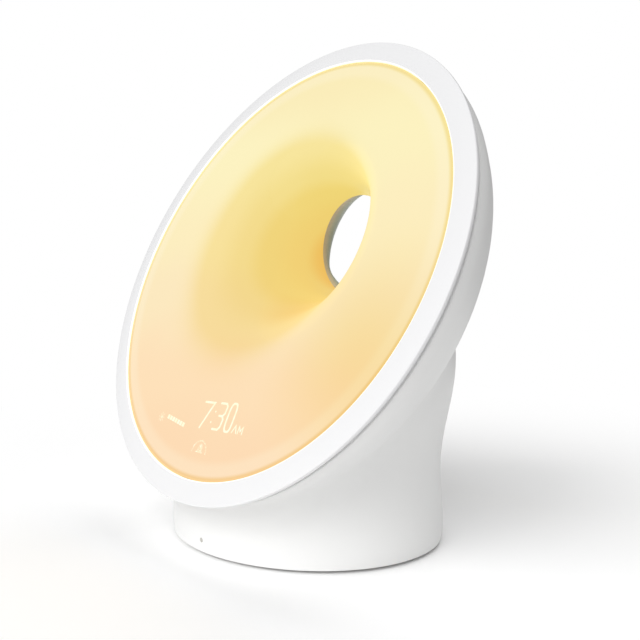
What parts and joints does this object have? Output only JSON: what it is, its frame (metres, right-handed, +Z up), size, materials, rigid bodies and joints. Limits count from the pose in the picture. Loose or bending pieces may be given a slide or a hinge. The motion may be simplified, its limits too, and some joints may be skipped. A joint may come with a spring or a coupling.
{
  "type": "sunrise alarm clock",
  "caption": "Bedside sunrise alarm clock: a leaning lit disc with a funnel-shaped hole, white ring and round-backed housing on an oval foot.",
  "frame": {"origin": "centre of the foot pad's underside, on the surface the clock stands on", "axes": "+Z up, -Y out of the lit face, +X to the right as the face is seen"},
  "size_m": [0.22, 0.1241, 0.2224],
  "materials": {
    "white_ring": "smooth white moulded plastic",
    "opal_face": "glossy opal plastic, lit from behind",
    "clear_film": "thin printed electrode film",
    "inner_white": "plain white moulding",
    "board_white": "white solder mask on a metal-core board",
    "lamp": "light-emitting diode with a yellow phosphor",
    "screw_steel": "zinc-plated steel",
    "inner_black": "plain black moulding",
    "board_green": "green solder mask",
    "white_housing": "satin white moulded plastic",
    "pad_rubber": "soft matt rubber",
    "grey_light_pipe": "smoked clear plastic",
    "cell_steel": "nickel-plated steel",
    "can_aluminium": "drawn aluminium can",
    "port_grey": "light grey moulding",
    "foam_black": "closed-cell foam",
    "magnet_ferrite": "sintered ferrite",
    "cone_black": "treated paper cone"
  },
  "bodies": {
    "clock": {"bezel_ring": "white_ring", "front_diffuser": "opal_face", "touch_ring": "clear_film", "reflector_tray": "inner_white", "led_board": "board_white", "light_leds": "lamp", "led_board_screws": "screw_steel", "display_mask": "inner_black", "display_board": "board_green", "display_leds": "lamp", "back_housing": "white_housing", "base_plate": "inner_white", "foot_pad": "pad_rubber", "base_screws": "screw_steel", "sensor_window": "grey_light_pipe", "sensor_board": "board_green", "main_board": "board_green", "main_board_screws": "screw_steel", "coin_cell_holder": "inner_black", "coin_cell": "cell_steel", "radio_shield": "cell_steel", "board_chips": "inner_black", "capacitors": "can_aluminium", "port_panel": "port_grey", "dc_jack": "inner_black", "usb_port": "cell_steel", "aux_jack": "inner_black", "reset_switch": "inner_black", "speaker_grille": "white_housing", "speaker_gasket": "foam_black", "speaker_basket": "inner_black", "speaker_top_plate": "cell_steel", "speaker_magnet": "magnet_ferrite", "speaker_yoke": "cell_steel", "speaker_surround": "pad_rubber", "speaker_screws": "screw_steel"},
    "reset": {"reset_button": "port_grey"},
    "cone": {"speaker_cone": "cone_black"}
  },
  "joints": [
    {"name": "reset_press", "type": "slide", "parent": "clock", "child": "reset", "axis": [0, -1, 0], "range_m": [0, 0.0005], "stiffness_N_per_m": 1500},
    {"name": "cone_travel", "type": "slide", "parent": "clock", "child": "cone", "axis": [0, 1, 0], "range_m": [-0.001, 0.001], "stiffness_N_per_m": 1000, "deforming": ["speaker_surround"]}
  ]
}
